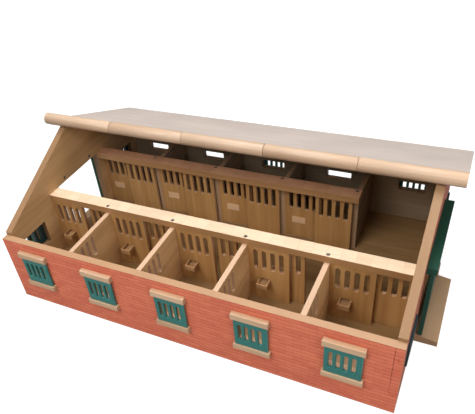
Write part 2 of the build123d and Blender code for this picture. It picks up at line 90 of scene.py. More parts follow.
class Graph:
    """The node graph of one finish, grown one node at a time."""

    def __init__(self, name: str) -> None:
        """Start a material with a bare shader.

        Args:
            name: The material's name.
        """
        self.material = bpy.data.materials.new(name)
        self.material.use_nodes = True
        self.tree = self.material.node_tree
        self.shader = self.tree.nodes["Principled BSDF"]

    def node(self, kind: str, **settings: object) -> bpy.types.Node:
        """Add one node.

        Args:
            kind: The node's type name.
            **settings: Properties to set on it.

        Returns:
            The new node.
        """
        made = self.tree.nodes.new(kind)
        for key, value in settings.items():
            setattr(made, key, value)
        return made

    def feed(self, socket: Socket, value: object) -> None:
        """Link a socket to an output, or set its own value.

        Args:
            socket: The input to feed.
            value: An output socket, a number or a colour.
        """
        if isinstance(value, bpy.types.NodeSocket):
            self.tree.links.new(value, socket)
        else:
            socket.default_value = value

    def maths(self, operation: str, a: Number, b: Number = 0.0, clamp: bool = False) -> Socket:
        """Work out a number from one or two others.

        Args:
            operation: The name of the sum, such as "MULTIPLY".
            a: The first number.
            b: The second number.
            clamp: Whether the result is held between zero and one.

        Returns:
            The result.
        """
        made = self.node("ShaderNodeMath", operation=operation, use_clamp=clamp)
        self.feed(made.inputs[0], a)
        self.feed(made.inputs[1], b)
        return made.outputs[0]

    def vector(self, operation: str, a: Socket, b: object) -> Socket:
        """Work out a vector from two others.

        Args:
            operation: The name of the sum, such as "ADD".
            a: The first vector.
            b: The second vector.

        Returns:
            The result.
        """
        made = self.node("ShaderNodeVectorMath", operation=operation)
        self.feed(made.inputs[0], a)
        self.feed(made.inputs[1], b)
        return made.outputs["Vector"]

    def dot(self, a: Socket, b: tuple[float, float, float]) -> Socket:
        """Return how far one vector runs along another."""
        made = self.node("ShaderNodeVectorMath", operation="DOT_PRODUCT")
        self.feed(made.inputs[0], a)
        self.feed(made.inputs[1], b)
        return made.outputs["Value"]

    def parts(self, vector: Socket) -> list[Socket]:
        """Split a vector into its three numbers."""
        made = self.node("ShaderNodeSeparateXYZ")
        self.feed(made.inputs[0], vector)
        return list(made.outputs)

    def whole(self, x: Number, y: Number, z: Number) -> Socket:
        """Join three numbers into a vector."""
        made = self.node("ShaderNodeCombineXYZ")
        for socket, value in zip(made.inputs, (x, y, z)):
            self.feed(socket, value)
        return made.outputs[0]

    def step(self, value: Number, low: float, high: float) -> Socket:
        """Rise smoothly from zero to one.

        Args:
            value: The number to look at.
            low: Where the rise starts.
            high: Where it ends.

        Returns:
            A number from zero to one.
        """
        made = self.node("ShaderNodeMapRange", interpolation_type="SMOOTHSTEP")
        self.feed(made.inputs["Value"], value)
        self.feed(made.inputs["From Min"], low)
        self.feed(made.inputs["From Max"], high)
        return made.outputs["Result"]

    def span(self, value: Number, low: Number, high: Number) -> Socket:
        """Spread a share from zero to one over a range.

        Args:
            value: The share.
            low: What a share of zero becomes.
            high: What a share of one becomes.

        Returns:
            The number in the range.
        """
        made = self.node("ShaderNodeMapRange")
        self.feed(made.inputs["Value"], value)
        self.feed(made.inputs["To Min"], low)
        self.feed(made.inputs["To Max"], high)
        return made.outputs["Result"]

    def mix(self, share: Number, first: object, second: object, how: str = "MIX") -> Socket:
        """Blend two colours.

        Args:
            share: How much of the second one shows.
            first: The colour below.
            second: The colour above.
            how: The name of the blend.

        Returns:
            The blended colour.
        """
        made = self.node("ShaderNodeMix", data_type="RGBA", blend_type=how)
        self.feed(made.inputs[0], share)
        self.feed(made.inputs[6], first)
        self.feed(made.inputs[7], second)
        return made.outputs[2]

    def lit(self, colour: object, light: Socket) -> Socket:
        """Brighten or darken a colour.

        Args:
            colour: The colour.
            light: What it is multiplied by.

        Returns:
            The new colour.
        """
        return self.mix(1.0, colour, self.whole(light, light, light), "MULTIPLY")

    def drawn_out(self, place: Socket, grain: Axis, share: float) -> Socket:
        """Draw what is looked up at a place out along the grain.

        Args:
            place: The place along a board's own axes.
            grain: The axis that the fibres follow.
            share: What a step along the fibres counts for.

        Returns:
            The place to look at.
        """
        steps = [1.0, 1.0, 1.0]
        steps[grain.value] = share
        return self.vector("MULTIPLY", place, tuple(steps))

    def noise(self, place: Socket, scale: float, detail: float = 2.0, bend: float = 0.0) -> Socket:
        """Return soft random numbers over the surface.

        Args:
            place: Where to look, in millimetres.
            scale: How many spots fit in a millimetre.
            detail: How many finer layers are added.
            bend: How far the spots are pulled out of shape.

        Returns:
            A number from zero to one, mostly near a half.
        """
        made = self.node("ShaderNodeTexNoise")
        self.feed(made.inputs["Vector"], place)
        self.feed(made.inputs["Scale"], scale)
        self.feed(made.inputs["Detail"], detail)
        self.feed(made.inputs["Distortion"], bend)
        return made.outputs["Fac"]

    def chance(self, number: Number) -> tuple[Socket, Socket]:
        """Draw a fixed random number and vector for a whole number.

        Args:
            number: The number of the board or brick.

        Returns:
            A number from zero to one and a vector of three of them.
        """
        made = self.node("ShaderNodeTexWhiteNoise", noise_dimensions="1D")
        self.feed(made.inputs["W"], number)
        return made.outputs["Value"], made.outputs["Color"]

    def local(self, vector: Socket, lie: Lie) -> Socket:
        """Turn a vector from the row frame into a board's own axes."""
        if lie == ALONG:
            return vector
        made = self.node("ShaderNodeVectorRotate", rotation_type="EULER_XYZ", invert=True)
        self.feed(made.inputs["Vector"], vector)
        self.feed(made.inputs["Rotation"], tuple(math.radians(a) for a in lie.turn))
        return made.outputs[0]

    def place(self, lie: Lie) -> Socket:
        """Return the place at rest along a board's own axes, in millimetres."""
        coordinates = self.node("ShaderNodeTexCoord").outputs["Object"]
        return self.local(self.vector("MULTIPLY", coordinates, (MILLIMETRES,) * 3), lie)

    def facing(self, lie: Lie) -> Socket:
        """Return the way the surface faces, along a board's own axes."""
        return self.local(self.node("ShaderNodeTexCoord").outputs["Normal"], lie)

    def bump(self, height: Socket, depth: float) -> None:
        """Let a height in millimetres raise the surface.

        Args:
            height: The height, where one is the full depth.
            depth: The full depth in millimetres.
        """
        made = self.node("ShaderNodeBump")
        self.feed(made.inputs["Strength"], 1.0)
        self.feed(made.inputs["Distance"], depth / MILLIMETRES)
        self.feed(made.inputs["Height"], height)
        self.feed(self.shader.inputs["Normal"], made.outputs[0])


@dataclass(frozen=True)
class Skin:
    """What one layer of a finish looks like at each point of the surface.

    Args:
        colour: Its colour.
        roughness: How rough it is, from zero to one.
        height: Its height, where one is the full depth.
    """

    colour: Socket
    roughness: Socket
    height: Socket

    def under(self, graph: Graph, mask: Socket, cover: "Skin") -> "Skin":
        """Lay another layer over this one.

        Args:
            graph: The graph that both grow in.
            mask: Where the cover shows.
            cover: The layer on top.

        Returns:
            The two as one layer.
        """
        return Skin(
            graph.mix(mask, self.colour, cover.colour),
            graph.span(mask, self.roughness, cover.roughness),
            graph.span(mask, self.height, cover.height),
        )


class Finish:
    """What a surface is made of; each kind of finish grows a layer of its own.

    Args:
        relief: How many millimetres the layer's height stands for.
        metal: How metallic the surface is, from zero to one.
        specular: How strongly it mirrors.
    """

    relief: ClassVar[float] = 0.03
    metal: ClassVar[float] = 0.0
    specular: ClassVar[float] = 0.4

    def grow(self, graph: Graph) -> Skin:
        """Build the finish's layer.

        Args:
            graph: The graph to grow it in.

        Returns:
            Its colour, roughness and height.
        """
        raise NotImplementedError

    def material(self, name: str) -> bpy.types.Material:
        """Make the finish's material.

        Args:
            name: The material's name.

        Returns:
            The finished material.
        """
        graph = Graph(name)
        skin = self.grow(graph)
        graph.feed(graph.shader.inputs["Base Color"], skin.colour)
        graph.feed(graph.shader.inputs["Roughness"], skin.roughness)
        graph.shader.inputs["Specular IOR Level"].default_value = self.specular
        graph.shader.inputs["Metallic"].default_value = self.metal
        graph.bump(skin.height, self.relief)
        return graph.material


@dataclass(frozen=True)
class Wood(Finish):
    """Bare wood with growth rings, fibres, pores and end grain.

    Args:
        pale: The early wood.
        ground: The wood between.
        dark: The late wood and the pores.
        grain: The board's axis that the fibres follow.
        figure: How strong the growth rings show.
        ring: How many millimetres lie between rings.
        lie: How the board lies.
        seed: Any number, for another tree.
        board_pitch: The spacing in X of the separate boards in one piece, or zero.
        board_start: Where the first of them starts in X.
        ply_edge: The colour of a plywood's edges, or nothing for solid wood.
        sheen: The roughness of the smoothest part.
        variety: How far the shades of separate boards lie apart.
        joint: The width of the glue line at the start of each board, or zero.
    """

    pale: str
    ground: str
    dark: str
    grain: Axis = Axis.LENGTH
    figure: float = 1.0
    ring: float = 6.0
    lie: Lie = ALONG
    seed: float = 0.0
    board_pitch: float = 0.0
    board_start: float = 0.0
    ply_edge: str = ""
    sheen: float = 0.42
    variety: float = 0.12
    joint: float = 0.0

    TREE_SIZE: ClassVar[float] = 700.0  # how far apart the boards are cut, in millimetres
    RING_TURNS: ClassVar[float] = 88.0
    RING_SHARE: ClassVar[float] = 0.26
    PORE_SHARE: ClassVar[float] = 0.16
    END_SHARE: ClassVar[float] = 0.4
    GLUE_SHARE: ClassVar[float] = 0.3
    GLUE_EDGE: ClassVar[float] = 0.2  # where a glue line is at its full strength
    PLY_TURNS: ClassVar[float] = 4.2
    PLY_SHARE: ClassVar[float] = 0.08

    def grow(self, graph: Graph) -> Skin:
        """Build the wood's layer.

        Args:
            graph: The graph to grow it in.

        Returns:
            Its colour, roughness and height.
        """
        place = graph.place(self.lie)
        number, glue = self.boards(graph, place)
        shade, shift = graph.chance(number)
        shift = graph.vector("MULTIPLY", shift, (self.TREE_SIZE,) * 3)
        moved = graph.vector("ADD", place, shift)
        flow = graph.drawn_out(moved, self.grain, 0.05)
        fine = graph.drawn_out(moved, self.grain, 0.02)
        short = graph.drawn_out(moved, self.grain, 0.16)

        hills = graph.noise(flow, 0.2 / self.ring, 1.5, 0.5)
        swing = graph.maths("SINE", graph.maths("MULTIPLY", hills, self.RING_TURNS))
        rings = graph.step(swing, -0.4, 1.0)
        bands = graph.step(graph.noise(flow, 0.05, 2.0, 0.6), 0.3, 0.7)
        fibres = graph.noise(fine, 0.9, 3.0)
        pores = graph.step(graph.noise(short, 1.5, 1.0), 0.62, 0.72)
        patches = graph.noise(moved, 0.012, 1.0)

        dark = tint(self.dark)
        colour = graph.mix(bands, tint(self.ground), tint(self.pale))
        colour = graph.mix(graph.maths("MULTIPLY", rings, self.RING_SHARE * self.figure), colour, dark)
        colour = graph.mix(graph.maths("MULTIPLY", pores, self.PORE_SHARE * self.figure), colour, dark)
        light = graph.span(shade, 1.0 - self.variety / 2, 1.0 + self.variety / 2)
        fleck = 0.1 * self.figure + 0.02
        light = graph.maths("MULTIPLY", light, graph.span(fibres, 1.0 - fleck, 1.0 + fleck))
        light = graph.maths("MULTIPLY", light, graph.span(patches, 0.88, 1.12))
        colour = graph.lit(colour, light)
        if self.joint:
            colour = graph.mix(glue, colour, dark)
        colour = self.edges(graph, place, colour, light)

        roughness = graph.span(graph.maths("ADD", pores, rings), self.sheen, self.sheen + 0.16)
        height = graph.maths("SUBTRACT", fibres, graph.maths("MULTIPLY", pores, 0.6))
        return Skin(colour, roughness, height)

    def boards(self, graph: Graph, place: Socket) -> tuple[Number, Number]:
        """Number the separate boards of one piece and find the glue between them.

        Args:
            graph: The graph to grow in.
            place: The place along the board's own axes.

        Returns:
            The board's number and how much glue shows.
        """
        if not self.board_pitch:
            return self.seed, 0.0
        along_row = graph.maths("SUBTRACT", graph.parts(place)[0], self.board_start)
        boards = graph.maths("DIVIDE", along_row, self.board_pitch)
        number = graph.maths("ADD", graph.maths("FLOOR", boards), self.seed)
        if not self.joint:
            return number, 0.0
        spot = graph.maths("MULTIPLY", graph.maths("FRACT", boards), self.board_pitch)
        line = graph.step(spot, self.joint, self.GLUE_EDGE)
        return number, graph.maths("MULTIPLY", line, self.GLUE_SHARE)

    def edges(self, graph: Graph, place: Socket, colour: Socket, light: Socket) -> Socket:
        """Show end grain, or the layers of plywood, on the board's edges.

        Args:
            graph: The graph to grow in.
            place: The place along the board's own axes.
            colour: The colour of the board's faces.
            light: How bright this board is.

        Returns:
            The colour of faces and edges.
        """
        sides = graph.parts(graph.facing(self.lie))
        if not self.ply_edge:
            end = graph.mix(self.END_SHARE, colour, tint(self.dark))
            along = graph.maths("ABSOLUTE", sides[self.grain.value])
            return graph.mix(graph.step(along, 0.6, 0.85), colour, end)
        through = graph.maths("MULTIPLY", graph.parts(place)[Axis.THICKNESS.value], self.PLY_TURNS)
        layers = graph.step(graph.maths("SINE", through), 0.1, 0.6)
        share = graph.maths("MULTIPLY", layers, self.PLY_SHARE)
        edge = graph.lit(graph.mix(share, tint(self.ply_edge), tint(self.dark)), light)
        flat = graph.maths("ABSOLUTE", sides[Axis.THICKNESS.value])
        return graph.mix(graph.step(flat, 0.75, 0.45), colour, edge)


@dataclass(frozen=True)
class Bricks(Finish):
    """A printed brick pattern in running bond.

    Args:
        face: The bricks' main colour.
        warm: The colour of the lighter bricks.
        joint: The colour of the joints.
        glint: The pale line along the top of some courses.
        length: The length of a brick in millimetres.
        course: The height of a course in millimetres.
        bed_width: The width of a level joint in millimetres.
        head_width: The width of an upright joint in millimetres.
        across: The board's axis that the courses follow.
        seam: How far from the middle the print is scored upright, or zero.
        seam_foot: How high up the scored line starts.
    """

    face: str = "D0694D"
    warm: str = "DC7958"
    joint: str = "842F1E"
    glint: str = "D68068"
    length: float = 22.0
    course: float = 6.97
    bed_width: float = 1.5
    head_width: float = 0.8
    across: Axis = Axis.LENGTH
    seam: float = 0.0
    seam_foot: float = 86.0

    ROW_STRIDE: ClassVar[float] = 57.0  # what each course adds to its bricks' numbers
    HEAD_SHARE: ClassVar[float] = 0.8
    GLINT_FOOT: ClassVar[tuple[float, float]] = (4.2, 5.2)  # over the course's foot, in millimetres
    GLINT_TOP: ClassVar[tuple[float, float]] = (6.7, 6.0)
    SEAM_FADE: ClassVar[float] = 60.0  # over how many millimetres the scored line fades in

    def grow(self, graph: Graph) -> Skin:
        """Build the print's layer.

        Args:
            graph: The graph to grow it in.

        Returns:
            Its colour, roughness and height.
        """
        place = graph.place(ALONG)
        axes = graph.parts(place)
        wobble = graph.span(graph.noise(place, 0.12, 2.0), -0.5, 0.5)
        tremble = graph.span(graph.noise(place, 0.9, 1.0), -0.4, 0.4)
        along = axes[self.across.value]
        up = graph.maths("ADD", axes[Axis.HEIGHT.value], graph.maths("ADD", wobble, tremble))

        courses = graph.maths("DIVIDE", up, self.course)
        row = graph.maths("FLOOR", courses)
        rise = graph.maths("MULTIPLY", graph.maths("FRACT", courses), self.course)
        bond = graph.maths("MULTIPLY", graph.maths("MODULO", row, 2.0), 0.5)
        bricks = graph.maths("ADD", graph.maths("DIVIDE", along, self.length), bond)
        run = graph.maths("MULTIPLY", graph.maths("FRACT", bricks), self.length)
        number = graph.maths("MULTIPLY", row, self.ROW_STRIDE)
        number = graph.maths("ADD", graph.maths("FLOOR", bricks), number)
        shade, _ = graph.chance(number)

        bed = graph.step(rise, self.bed_width, 0.2)
        head = graph.maths("MULTIPLY", graph.step(run, self.head_width, 0.1), self.HEAD_SHARE)
        joints = graph.maths("MAXIMUM", bed, head)
        level = graph.whole(along, graph.maths("MULTIPLY", up, 3.0), 0.0)
        fade = graph.step(graph.noise(level, 0.05, 1.0), 0.3, 0.62)
        joints = graph.maths("MULTIPLY", joints, graph.span(fade, 0.3, 0.62))
        glint = graph.step(rise, *self.GLINT_FOOT)
        glint = graph.maths("MULTIPLY", glint, graph.step(rise, *self.GLINT_TOP))
        glint = graph.maths("MULTIPLY", glint, graph.span(fade, 0.45, 0.1))
        mottle = graph.noise(place, 0.5, 3.0)
        cloud = graph.noise(place, 0.02, 2.0)

        colour = graph.mix(shade, tint(self.face), tint(self.warm))
        colour = graph.mix(glint, colour, tint(self.glint))
        colour = graph.mix(joints, colour, tint(self.joint))
        if self.seam:
            aside = graph.maths("ABSOLUTE", graph.maths("SUBTRACT", along, self.seam))
            line = graph.maths("MULTIPLY", graph.step(aside, 0.9, 0.3), graph.span(fade, 0.35, 0.9))
            rising = graph.step(up, self.seam_foot - self.SEAM_FADE, self.seam_foot)
            colour = graph.mix(graph.maths("MULTIPLY", line, rising), colour, tint(self.joint))
        light = graph.maths("MULTIPLY", graph.span(mottle, 0.9, 1.1), graph.span(cloud, 0.92, 1.08))
        colour = graph.lit(colour, light)
        roughness = graph.span(mottle, 0.55, 0.7)
        height = graph.span(joints, 0.5, 0.1)
        return Skin(colour, roughness, height)


@dataclass(frozen=True)
class PrintedBoard(Finish):
    """A board with bricks printed on its outer face and bare wood on the others.

    Args:
        board: The wood underneath.
        bricks: The print.
        outward: The way the printed face looks, in the row frame.
        top: The height of the board's printed top edge, or zero.
    """

    board: Wood
    bricks: Bricks
    outward: tuple[float, float, float]
    top: float = 0.0

    def grow(self, graph: Graph) -> Skin:
        """Build both layers, with the print's edge a little worn at the top.

        Args:
            graph: The graph to grow them in.

        Returns:
            The board's colour, roughness and height.
        """
        bare = self.board.grow(graph)
        printed = self.bricks.grow(graph)
        mask = graph.step(graph.dot(graph.facing(ALONG), self.outward), 0.6, 0.8)
        if self.top:
            place = graph.place(ALONG)
            ragged = graph.span(graph.noise(place, 0.35, 2.0), -1.6, 1.6)
            height = graph.maths("ADD", graph.parts(place)[Axis.HEIGHT.value], ragged)
            worn = graph.step(height, self.top + 0.1, self.top - 0.5)
            mask = graph.maths("MULTIPLY", mask, graph.span(worn, 0.45, 1.0))
        return bare.under(graph, mask, printed)


@dataclass(frozen=True)
class Paint(Finish):
    """Satin paint over wood: the grain telegraphs through and edges rub pale.

    Args:
        colour: The paint.
        worn: The paint where it is thin.
        lie: How the board lies.
        grain: The board's axis that the fibres follow.
        seed: Any number, for another coat.
        gloss: The roughness of the smoothest part.
        metal: How metallic the paint is.
        grain_depth: How strongly the grain telegraphs through.
    """

    colour: str
    worn: str
    lie: Lie = ALONG
    grain: Axis = Axis.HEIGHT
    seed: float = 0.0
    gloss: float = 0.32
    metal: float = 0.0
    grain_depth: float = 0.6

    def grow(self, graph: Graph) -> Skin:
        """Build the paint's layer.

        Args:
            graph: The graph to grow it in.

        Returns:
            Its colour, roughness and height.
        """
        shift = (37.0 * self.seed, 91.0 * self.seed, 53.0 * self.seed)
        place = graph.vector("ADD", graph.place(self.lie), shift)
        fibres = graph.noise(graph.drawn_out(place, self.grain, 0.06), 0.8, 3.0)
        cloud = graph.noise(place, 0.03, 2.0)
        peel = graph.noise(place, 1.4, 1.0)
        sides = [graph.maths("ABSOLUTE", s) for s in graph.parts(graph.facing(self.lie))]
        flat = graph.maths("MAXIMUM", graph.maths("MAXIMUM", sides[0], sides[1]), sides[2])
        rub = graph.maths("MULTIPLY", graph.step(flat, 0.97, 0.82), graph.step(cloud, 0.35, 0.65))

        light = graph.maths("MULTIPLY", graph.span(fibres, 0.93, 1.07), graph.span(cloud, 0.9, 1.1))
        colour = graph.lit(tint(self.colour), light)
        colour = graph.mix(graph.maths("MULTIPLY", rub, 0.7), colour, tint(self.worn))
        roughness = graph.span(peel, self.gloss, self.gloss + 0.14)
        grain = graph.maths("MULTIPLY", fibres, self.grain_depth)
        height = graph.maths("ADD", grain, graph.maths("MULTIPLY", peel, 0.3))
        return Skin(colour, roughness, height)


@dataclass(frozen=True)
class TwoFacedBoard(Finish):
    """A board with one finish on its outer face and another on all others.

    Args:
        outside: The finish of the outer face.
        inside: The finish everywhere else.
        outward: The way the outer face looks, in the row frame.
    """

    outside: Finish
    inside: Finish
    outward: tuple[float, float, float]

    def grow(self, graph: Graph) -> Skin:
        """Build both layers and split them by the way the surface faces.

        Args:
            graph: The graph to grow them in.

        Returns:
            The board's colour, roughness and height.
        """
        mask = graph.step(graph.dot(graph.facing(ALONG), self.outward), 0.5, 0.7)
        return self.inside.grow(graph).under(graph, mask, self.outside.grow(graph))


@dataclass(frozen=True)
class Steel(Finish):
    """Turned steel with fine scratches and a thin dark film.

    Args:
        bright: The steel where it is rubbed.
        dull: The steel under its film.
        gloss: The roughness of the rubbed parts.
    """

    bright: str = "7A7672"
    dull: str = "37312C"
    gloss: float = 0.28

    relief: ClassVar[float] = 0.004
    metal: ClassVar[float] = 1.0

    def grow(self, graph: Graph) -> Skin:
        """Build the steel's layer.

        Args:
            graph: The graph to grow it in.

        Returns:
            Its colour, roughness and height.
        """
        place = graph.place(ALONG)
        film = graph.step(graph.noise(place, 0.6, 3.0), 0.35, 0.65)
        scratches = graph.noise(graph.vector("MULTIPLY", place, (6.0, 1.0, 6.0)), 1.5, 2.0)
        colour = graph.mix(film, tint(self.dull), tint(self.bright))
        roughness = graph.span(film, self.gloss + 0.2, self.gloss)
        return Skin(colour, roughness, scratches)


@dataclass(frozen=True)
class PaintedScrews(Finish):
    """Screws of which those in the long walls are painted over with the bricks.

    Args:
        steel: The bare screws.
        face: How far the painted heads lie from the middle plane, in millimetres.
        colour: The paint.
        rubbed: The paint where it is rubbed.
    """

    steel: Steel
    face: float
    colour: str = "CF6A4E"
    rubbed: str = "B25740"

    relief: ClassVar[float] = 0.004
    HEAD_BAND: ClassVar[tuple[float, float]] = (2.0, 1.5)  # under the face, in millimetres

    def grow(self, graph: Graph) -> Skin:
        """Build both layers and split them by where the screw sits.

        Args:
            graph: The graph to grow them in.

        Returns:
            The screws' colour, roughness and height.
        """
        aside = graph.maths("ABSOLUTE", graph.parts(graph.place(ALONG))[Axis.THICKNESS.value])
        mask = graph.step(aside, *(self.face - depth for depth in self.HEAD_BAND))
        painted = Paint(self.colour, self.rubbed, gloss=0.55).grow(graph)
        return self.steel.grow(graph).under(graph, mask, painted)


@dataclass(frozen=True)
class Timber:
    """The woods, paints and prints that the stable is made of, with darker copies as painted shade and
    a brighter copy as painted light.

    Args:
        beech: The front feed trays and the turn buttons.
        pale_beech: The rear feed trays.
        plywood: The front wall, the fixed stall panels and the stall doors.
        gable: The gables inside, a brighter copy of the plywood as painted light.
        shaded: The back wall inside, a darker copy of the plywood as painted shade.
        dusky: The rear partitions.
        partition: The front partitions.
        ground: The floor board, darkened as painted shade.
        beam: The top of the front beam, glued up from blocks.
        dusky_beam: The top of the rear beam.
        beam_side: The sides of both beams.
        roll: The ridge roll.
        trim: The lintels and sills of the long walls' windows.
        ramp: The ramps.
        teal: The shutters.
        green: The gable doors and their lintels.
        grille: The bars in the gable windows.
        roof_grey: The outer face of the roof.
        roof_lining: Its inner face.
        bricks: The print on the long walls.
        gable_bricks: The print on the gables.
        steel: The pins, the rod and the bare screws.
    """

    beech: Wood = Wood("BA9166", "AA8158", "785233", ring=5.0, figure=0.5, variety=0.08)
    pale_beech: Wood = Wood("D8B28A", "CAA37B", "95704F", ring=5.0, figure=0.4, variety=0.08)
    plywood: Wood = Wood("B68B57", "A67947", "714A27", ring=9.0, figure=0.45, ply_edge="AF8967")
    # Painted light: the gables' inside is a brighter copy of the plywood.
    gable: Wood = Wood("C8A072", "B99162", "856040", ring=12.0, figure=0.3, ply_edge="977350")
    # Painted shade: the back wall's inside is a darker copy of the plywood.
    shaded: Wood = Wood("A8937A", "9C866B", "776347", ring=12.0, figure=0.2, ply_edge="AF8967")
    # Painted shade: the rear partitions are a darker, greyer copy of the partition wood.
    dusky: Wood = Wood("8F7862", "826B56", "604D3B", ring=12.0, figure=0.25, ply_edge="A88768")
    partition: Wood = Wood("C69E70", "B89064", "845E3C", ring=14.0, figure=0.25, ply_edge="C4A285")
    # Painted shade: the floor board's wood is darkened.
    ground: Wood = Wood("9A774E", "8B6A43", "634A30", ring=12.0, figure=0.4, ply_edge="8A6A4A")
    beam: Wood = Wood("E0C6A8", "D8BC9E", "AD8764", ring=4.0, figure=0.3, variety=0.13, joint=1.4)
    # Painted shade: the rear beam's top is a darker copy of the front beam's wood.
    dusky_beam: Wood = Wood("C89674", "BC8A68", "8C6040", ring=4.0, figure=0.3, variety=0.1, joint=1.4)
    beam_side: Wood = Wood("B4875A", "A67B50", "7C5535", ring=4.0, figure=0.4)
    roll: Wood = Wood("CBAF95", "BC9D81", "8F6D4C", ring=5.0, figure=0.5, sheen=0.36)
    trim: Wood = Wood("CBAB8B", "BF9C7A", "90704F", ring=4.0, figure=0.4)
    ramp: Wood = Wood("BC9A76", "B28F6A", "8C6D4D", ring=12.0, figure=0.2)
    teal: Paint = Paint("286F68", "56958C")
    green: Paint = Paint("0E4838", "2A6656")
    grille: Paint = Paint("16383A", "34585C")
    roof_grey: Paint = Paint(
        "767985", "9C9FAA", grain=Axis.LENGTH, gloss=0.26, metal=0.35, grain_depth=0.15
    )
    roof_lining: Wood = Wood("BFB2A9", "BDAFA5", "AA998C", ring=20.0, figure=0.05, ply_edge="BCA894")
    bricks: Bricks = Bricks()
    # Painted shade: the gables' print is a darker copy of the long walls' bricks.
    gable_bricks: Bricks = Bricks(face="AC533C", warm="B76045", across=Axis.THICKNESS)
    steel: Steel = Steel()


# ---- Sub-assemblies ------------------------------------------------------------------------
def corners(piece: str) -> tuple[Vector, Vector]:
    """Return how far a piece reaches at rest.

    Args:
        piece: The piece's name in the frame.

    Returns:
        Its lowest and its highest corner, in millimetres.
    """
    low, high = ([round(c * MILLIMETRES, 2) for c in corner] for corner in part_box(piece))
    return Vector(low), Vector(high)


def opened(leaf: str) -> float:
    """Return how far a door or shutter stands open at rest.

    Args:
        leaf: The leaf's name in the frame.

    Returns:
        The angle from closed, in degrees.
    """
    hinge = next(joint for joint in frame["joints"] if joint["name"] == f"{leaf}_hinge")
    return -hinge["range_deg"][0]


class Side(Enum):
    """A side of the stable, whose value is the way it faces."""

    @property
    def label(self) -> str:
        """Return the side's name as the frame's pieces spell it."""
        return self.name.lower()


class Row(Side):
    """The rows of stalls and the halves of the roof, along Y."""

    FRONT = -1
    REAR = 1


class Wall(Side):
    """The long walls, along Y."""

    FRONT = -1
    BACK = 1


class Gable(Side):
    """The gables, along X."""

    LEFT = -1
    RIGHT = 1


class Softening(Enum):
    """How far the edges of a piece are rounded, in millimetres."""

    NONE = 0.0
    BOARD = 0.35
    STRIP = 0.8
    ROLL = 1.1
    FITTING = 0.15


@dataclass
class SubAssembly:
    """Some of the stable's pieces, which are softened and dressed together.

    Args:
        timber: The woods, paints and prints to choose from.
    """

    timber: Timber = field(default_factory=Timber)

    WELD_REACH: ClassVar[float] = 0.000002  # in metres
    FLAT_ANGLE: ClassVar[float] = 0.5  # in degrees
    SHARP_ANGLE: ClassVar[float] = 38.0

    def dress(self, piece: str, finish: Finish, softening: Softening) -> None:
        """Give a piece its finish and its rounded edges.

        Args:
            piece: The piece's name in the frame.
            finish: What its surface is.
            softening: How far its edges are rounded.
        """
        node = frame["nodes"][piece]
        made = finish.material(piece)
        if not node.material_slots:
            node.data.materials.append(made)
        for slot in node.material_slots:
            slot.material = made
        if softening is not Softening.NONE:
            self.soften(node, softening.value)
        LOG.info("%s: %s, edges %.2f mm", piece, type(finish).__name__, softening.value)

    def soften(self, node: bpy.types.Object, radius: float) -> None:
        """Round the sharp edges of a piece.

        Args:
            node: The piece.
            radius: The radius in millimetres.
        """
        weld = node.modifiers.new("join corners", "WELD")
        weld.merge_threshold = self.WELD_REACH
        flatten = node.modifiers.new("join flat faces", "DECIMATE")
        flatten.decimate_type = "DISSOLVE"
        flatten.angle_limit = math.radians(self.FLAT_ANGLE)
        edges = node.modifiers.new("round edges", "BEVEL")
        edges.width = radius / MILLIMETRES
        edges.segments = 2
        edges.limit_method = "ANGLE"
        edges.angle_limit = math.radians(self.SHARP_ANGLE)
        edges.harden_normals = True
        edges.use_clamp_overlap = True

    def build(self) -> None:
        """Dress every piece of the sub-assembly."""
        raise NotImplementedError


@dataclass
class Shell(SubAssembly):
    """The walls, the gables, the floor board and the screws.

    Args:
        seam_inset: How far past the gable's inner face the long walls' print is scored.
    """

    seam_inset: float = 0.5

    def build(self) -> None:
        """Dress the walls, the gables, the floor and the screws."""
        top = corners("front_wall")[1].z
        face = corners("back_wall")[1].y
        scored = replace(self.timber.bricks, seam=corners("right_gable")[0].x + self.seam_inset)
        # Painted shade: the back wall's inside takes the darker plywood.
        for wall, ply in ((Wall.FRONT, self.timber.plywood), (Wall.BACK, self.timber.shaded)):
            board = replace(ply, seed=11.0 + wall.value)
            printed = PrintedBoard(board, scored, (0.0, wall.value, 0.0), top)
            self.dress(f"{wall.label}_wall", printed, Softening.BOARD)
        for gable in Gable:
            # Painted light: the gables' inner faces take the brighter plywood.
            board = replace(self.timber.gable, lie=ACROSS, seed=21.0 + gable.value)
            # Painted shade: the gables' print is darker than the long walls'.
            printed = PrintedBoard(board, self.timber.gable_bricks, (gable.value, 0.0, 0.0))
            self.dress(f"{gable.label}_gable", printed, Softening.BOARD)
        # Painted shade: the floor board takes the darkened wood.
        floor = replace(self.timber.ground, lie=FLAT, seed=31.0)
        self.dress("floor_board", floor, Softening.BOARD)
        self.dress("fixing_screws", PaintedScrews(self.timber.steel, face), Softening.NONE)


